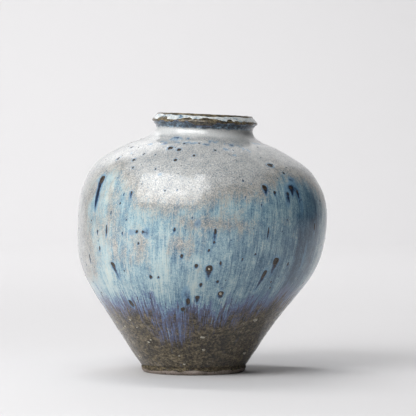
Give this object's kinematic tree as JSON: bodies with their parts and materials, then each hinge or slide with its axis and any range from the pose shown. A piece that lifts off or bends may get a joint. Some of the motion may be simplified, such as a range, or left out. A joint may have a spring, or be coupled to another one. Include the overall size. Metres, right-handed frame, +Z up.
{
  "type": "stoneware jar vase",
  "caption": "Round-shouldered stoneware jar vase with a narrow foot, a short neck and a flanged lip; holds flowers or stands alone.",
  "frame": {"origin": "centre of the foot's flat resting face, on the surface that the jar stands on", "axes": "+Z up and square to the foot's resting face, along the jar's longest extent; -Y is the front, the jar's top leans towards +X"},
  "size_m": [0.2496, 0.249, 0.2594],
  "materials": {
    "bare_clay": "fired stoneware, unglazed, matt with a sandy grain",
    "wall_clay": "fired stoneware under glaze",
    "luting_slip": "fired joining slip",
    "iron_brown_glaze": "thin iron-brown coat, satin, mottled",
    "blue_grey_glaze": "thick milky blue-grey coat with runs, streaks and pits, semi-gloss",
    "milky_glaze": "pale blue-white coat, glossy",
    "liner_glaze": "brown-grey lining, glossy",
    "feldspar": "half-melted feldspar grains",
    "iron_spots": "near-black iron melt, glossy"
  },
  "bodies": {
    "root": {"foot_ring": "bare_clay", "base_slab": "bare_clay", "lower_wall": "wall_clay", "upper_wall": "wall_clay", "neck_collar": "wall_clay", "lip_flange": "wall_clay", "foot_slip": "luting_slip", "belly_slip": "luting_slip", "neck_slip": "luting_slip", "lip_slip": "luting_slip", "base_glaze": "iron_brown_glaze", "top_glaze": "blue_grey_glaze", "lip_glaze": "milky_glaze", "liner_glaze": "liner_glaze", "feldspar_grits": "feldspar", "iron_nodules": "iron_spots"}
  },
  "joints": []
}
